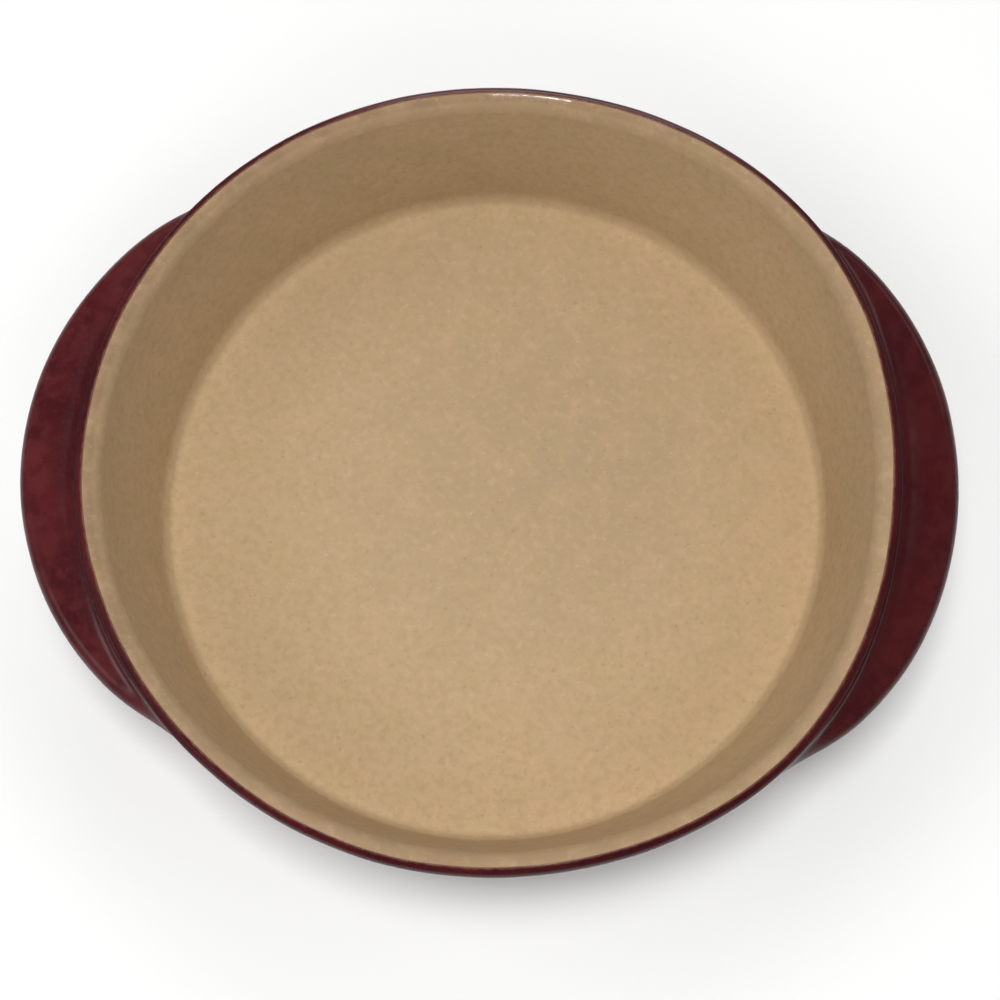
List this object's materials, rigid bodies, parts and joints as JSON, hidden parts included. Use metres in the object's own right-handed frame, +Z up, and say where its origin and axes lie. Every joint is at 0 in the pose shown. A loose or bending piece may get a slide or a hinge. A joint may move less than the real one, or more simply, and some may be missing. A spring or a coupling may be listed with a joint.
{
  "type": "stoneware baking dish",
  "caption": "Round deep stoneware baking dish, bare tan clay inside and glossy cranberry glaze outside, with a rounded lip and crescent lug handles on opposite sides.",
  "frame": {"origin": "centre of the underside, on the plane that the foot ring stands on", "axes": "+X out through the right handle, +Y towards the back of the dish, +Z up out of its mouth"},
  "size_m": [0.323, 0.2798, 0.0735],
  "materials": {
    "stoneware": "matt unglazed speckled stoneware",
    "handle_clay": "matt unglazed stoneware under the glaze",
    "wall_glaze": "glossy",
    "handle_glaze": "glossy"
  },
  "bodies": {
    "root": {"stoneware_bowl": "stoneware", "left_handle": "handle_clay", "right_handle": "handle_clay", "wall_glaze": "wall_glaze", "left_handle_glaze": "handle_glaze", "right_handle_glaze": "handle_glaze"}
  },
  "joints": []
}
